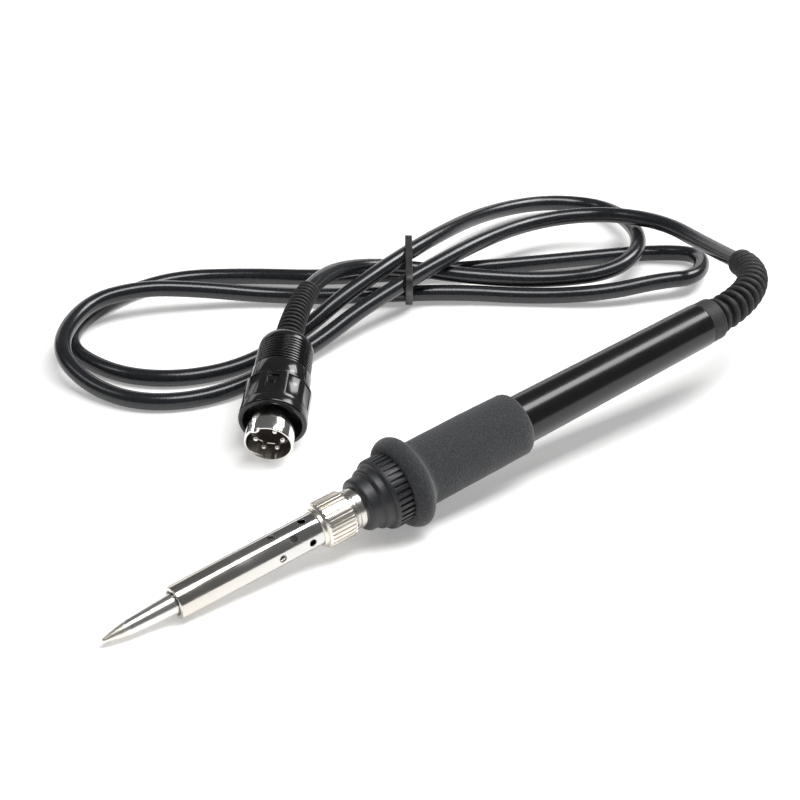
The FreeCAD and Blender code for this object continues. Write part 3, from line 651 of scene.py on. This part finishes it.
def swept_core(first, centre, axis, turn, core_r):
    """Round core: a filled ring swept about the bend's centre."""
    bpy.ops.object.select_all(action="DESELECT")
    bpy.ops.mesh.primitive_circle_add(vertices=44, radius=core_r * MM, fill_type="NGON")
    core = bpy.context.object
    settle(core, first)
    bpy.ops.object.mode_set(mode="EDIT")
    bpy.ops.mesh.select_all(action="SELECT")
    bpy.ops.mesh.spin(steps=36, angle=-turn, center=centre, axis=axis)
    bpy.ops.mesh.select_all(action="SELECT")
    bpy.ops.mesh.remove_doubles(threshold=1e-6)
    bpy.ops.mesh.normals_make_consistent(inside=False)
    bpy.ops.object.mode_set(mode="OBJECT")
    return core


RELIEF_START = 193.4        # station where the ribs begin
RELIEF_RIBS = 14
RELIEF_FIRST_R = 5.1
RELIEF_LAST_R = 4.0
RELIEF_CORE_R = 3.3
RELIEF_RIB_SHARE = 0.52     # a rib's thickness, as a share of the ribs' pitch
STUB_FRONT = RELIEF_START - 12.0
STUB_R = 5.15               # stub inside the handle
COLLAR_FRONT = RELIEF_START - 4.95
COLLAR_EDGE = 0.75
COLLAR_R = 5.93

BOOT_START = 37.6
BOOT_RIBS = 16
BOOT_FIRST_R = 4.05
BOOT_LAST_R = 3.2
BOOT_CORE_R = 2.72
BOOT_RIB_SHARE = 0.60
BOOT_STUB_R = 4.08


def make_relief():
    """Relief behind the handle: a grainy collar, then thin ribs that shrink along the bend."""
    ribs = ribbed_sleeve("relief_ribs", iron(RELIEF_START), IRON_AXIS, Vector(CORD_EXIT) * MM, RELIEF_RIBS,
                         RELIEF_FIRST_R, RELIEF_LAST_R, RELIEF_CORE_R, RELIEF_RIB_SHARE)
    outline = [(STUB_FRONT, 4.6), (STUB_FRONT, STUB_R), (COLLAR_FRONT, STUB_R)]
    outline += [(COLLAR_FRONT, 5.75), (COLLAR_FRONT + 0.15, COLLAR_R), (RELIEF_START - 0.9, 5.9)]
    outline += arc((RELIEF_START - COLLAR_EDGE, STUB_R), COLLAR_EDGE - 0.01, 90, 0, 6)
    outline += [(RELIEF_START, 3.0)]
    collar = settle(turned("relief_collar", outline, 96, closed=False), IRON_FRAME)
    relief = joined("relief_sleeve", [collar, ribs])
    smooth(relief, 50)
    return relief


def make_boot():
    """Boot behind the plug's cap."""
    boot = ribbed_sleeve("boot_ribs", plug(BOOT_START), PLUG_AXIS, Vector(CORD_END) * MM, BOOT_RIBS,
                         BOOT_FIRST_R, BOOT_LAST_R, BOOT_CORE_R, BOOT_RIB_SHARE)
    outline = [(BOOT_START - 1.6, BOOT_STUB_R), (BOOT_START + 0.15, BOOT_STUB_R), (BOOT_START + 0.3, 3.9),
               (BOOT_START + 0.3, 2.7)]
    stub = settle(turned("boot_stub", outline, 64, closed=False), PLUG_FRAME)
    boot = joined("boot_sleeve", [stub, boot])
    smooth(boot, 50)
    return boot


# ---------------------------------------------------------------- turned pieces
HANDLE_FRONT = 84.4
HANDLE_TAPER_START = 124.0
HANDLE_TAPER_LENGTH = 64.0
HANDLE_R = 6.64
HANDLE_TAPER = 0.5          # how much narrower the rear end is, in radius
HANDLE_BORE_R = 5.2

TIP_CONE_END = 7.0
TIP_CONE_R = 1.95
TIP_NECK_R = 2.75
TIP_SHOULDER_R = 3.6
TIP_SHANK_R = 3.25


def make_handle():
    """Long glossy tube, slightly tapered, open at both ends."""
    outline = [(HANDLE_FRONT, HANDLE_BORE_R), (HANDLE_FRONT, HANDLE_R), (HANDLE_TAPER_START, HANDLE_R)]
    outline += [(HANDLE_TAPER_START + HANDLE_TAPER_LENGTH * i / 6, HANDLE_R - HANDLE_TAPER * i / 6)
                for i in range(1, 7)]
    outline += arc((188.1, 5.85), 0.29, 80, 0, 4)
    outline += [(188.39, HANDLE_BORE_R)]
    handle = settle(turned("handle_shell", outline, 128), IRON_FRAME)
    smooth(handle, 35)
    return handle


def make_tip():
    """Cone and shank with a rounded, slightly worn point."""
    outline = [(0.02, 0.12), (0.08, 0.27), (0.20, 0.43), (0.45, 0.58), (0.96, 0.67)]
    for i in range(1, 9):
        share = i / 8
        belly = 0.10 * math.sin(math.pi * share)
        outline.append((0.96 + 6.04 * share, 0.67 + (TIP_CONE_R - 0.67) * share + belly))
    for i in range(1, 7):
        share = i / 6
        outline.append((TIP_CONE_END + 12.5 * share, TIP_CONE_R + (TIP_NECK_R - TIP_CONE_R) * share))
    outline += [(20.2, TIP_NECK_R), (20.2, TIP_SHOULDER_R - 0.15), (20.35, TIP_SHOULDER_R),
                (22.3, TIP_SHOULDER_R), (22.45, TIP_SHANK_R), (45.7, TIP_SHANK_R), (46.0, 3.0), (46.0, 2.3)]
    tip = settle(turned("tip_cone", outline, 96, closed=False), IRON_FRAME)
    smooth(tip, 30)
    return tip


# ---------------------------------------------------------------- band round the bundle
BAND_GRID = 0.16            # side of the grid that the band is meshed on
BAND_CREASE_SIZE = 3.5
BAND_CREASE_HEIGHT = 0.35


def make_tie():
    """Thin band, slightly crumpled where it was drawn tight."""
    tie = eased_copy("tie_band", "cord_tie", 0)
    select_only(tie)
    bpy.ops.object.mode_set(mode="EDIT")
    bpy.ops.mesh.select_all(action="SELECT")
    bpy.ops.mesh.quads_convert_to_tris()
    bpy.ops.mesh.subdivide(number_cuts=2)
    bpy.ops.object.mode_set(mode="OBJECT")
    remesh = tie.modifiers.new("even", "REMESH")
    remesh.mode = "VOXEL"
    remesh.voxel_size = BAND_GRID * MM
    creases = bpy.data.textures.new("band_creases", "CLOUDS")
    creases.noise_scale = BAND_CREASE_SIZE * MM
    creases.noise_depth = 1
    push = tie.modifiers.new("creases", "DISPLACE")
    push.texture = creases
    push.texture_coords = "LOCAL"
    push.mid_level = 0.6
    push.strength = BAND_CREASE_HEIGHT * MM
    apply_all(tie)
    soften = tie.modifiers.new("soft", "SMOOTH")
    soften.iterations = 4
    soften.factor = 0.5
    apply_all(tie)
    smooth(tie, 60)
    return tie


# ---------------------------------------------------------------- all pieces
grip = stand_for(make_grip(), "handle", "foam", "grip_foam", "foam_grip")
stand_for(make_tip(), "tip", "tip", "tip_plate", "soldering_tip")
eased_piece("pipe_shell", "enclosure_pipe", 0.05, "pipe", "pipe", "pipe_steel")
eased_piece("nut_ribbed", "union_nut", 0.04, "nut", "nut", "nut_nickel")
eased_piece("nipple_threaded", "nose_nipple", 0.06, "nose", "nipple", "nipple_nickel")
eased_piece("collar_fluted", "nose_collar", 0.05, "nose", "collar", "collar_black")
stand_for(make_handle(), "handle", "handle", "handle_black", "handle_tube")
relief = stand_for(make_relief(), "handle", "relief", "relief_rubber", "strain_relief")
boot = stand_for(make_boot(), "handle", "relief", "relief_rubber", "plug_boot")
shield = eased_piece("shield_shell", "plug_shield", 0.08, "handle", "chrome", "plug_chrome")
ring = eased_piece("lock_ring", "plug_lock_ring", 0.08, "plug_ring", "plug", "plug_black")
body = eased_piece("plug_shell", "plug_body", 0.10, "handle", "plug", "plug_black")
cap = eased_piece("plug_cap_ringed", "plug_cap", 0.05, "handle", "plug", "plug_black")
tie = stand_for(make_tie(), "handle", "tie", "tie_black", "cord_tie")
stand_for(cord, "handle", "cord", "cord_pvc", "cord")

NODE_FINISHES = {
    "plug_insulator": "insulator", "plug_pins": "pin", "plug_tail": "cord", "plug_clamp": "clip",
    "plug_wires": "wire", "heater_core": "ceramic", "heater_base": "ceramic", "heater_leads": "tinned",
    "terminal_board": "board", "board_terminals": "tinned", "cord_wires": "wire", "ground_clip": "clip",
    "handle_cord_tail": "cord", "cord_clamp": "clip",
}
for node, finish in NODE_FINISHES.items():
    dress(frame["nodes"][node], finish)


# ---------------------------------------------------------------- floor and light
def make_floor():
    bpy.ops.object.select_all(action="DESELECT")
    bpy.ops.mesh.primitive_plane_add(size=8.0)
    floor = bpy.context.object
    floor.name = "floor"
    paper = bpy.data.materials.new("floor_white")
    paper.use_nodes = True
    shader = paper.node_tree.nodes["Principled BSDF"]
    shader.inputs["Base Color"].default_value = (0.92, 0.918, 0.912, 1)
    shader.inputs["Roughness"].default_value = 0.85
    shader.inputs["Specular IOR Level"].default_value = 0.2
    shader.inputs["Emission Color"].default_value = (1.0, 0.995, 0.985, 1)
    shader.inputs["Emission Strength"].default_value = 0.30
    floor.data.materials.append(paper)


def soft_light(name, place, aim, size, glow):
    """Rectangular light that faces a point; glow is its brightness as it is seen in a mirror."""
    data = bpy.data.lights.new(name, "AREA")
    data.shape = "RECTANGLE"
    data.size = size[0]
    data.size_y = size[1]
    data.energy = glow * math.pi * size[0] * size[1]
    lamp = bpy.data.objects.new(name, data)
    bpy.context.scene.collection.objects.link(lamp)
    lamp.location = place
    lamp.rotation_euler = (Vector(aim) - Vector(place)).to_track_quat("-Z", "Y").to_euler()
    return lamp


def make_light():
    world = bpy.data.worlds.new("studio")
    world.use_nodes = True
    background = world.node_tree.nodes["Background"]
    background.inputs["Color"].default_value = (0.98, 0.99, 1.0, 1)
    background.inputs["Strength"].default_value = 0.13
    bpy.context.scene.world = world
    soft_light("strip_over", (0.55, -0.18, 1.00), (0.55, 0.0, 0.0), (1.5, 0.40), 9.0)
    soft_light("strip_back", (0.60, 1.50, 0.40), (0.0, 0.05, 0.0), (2.0, 0.5), 1.2)
    soft_light("box_left", (-0.80, 0.55, 1.10), (0.0, 0.05, 0.0), (0.40, 0.40), 3.0)
    glint = soft_light("box_right", (1.15, 0.10, 0.95), (0.0, 0.08, 0.0), (0.45, 0.60), 9.0)
    glint.visible_diffuse = False
    bpy.context.scene.view_settings.view_transform = "Standard"


make_floor()
make_light()
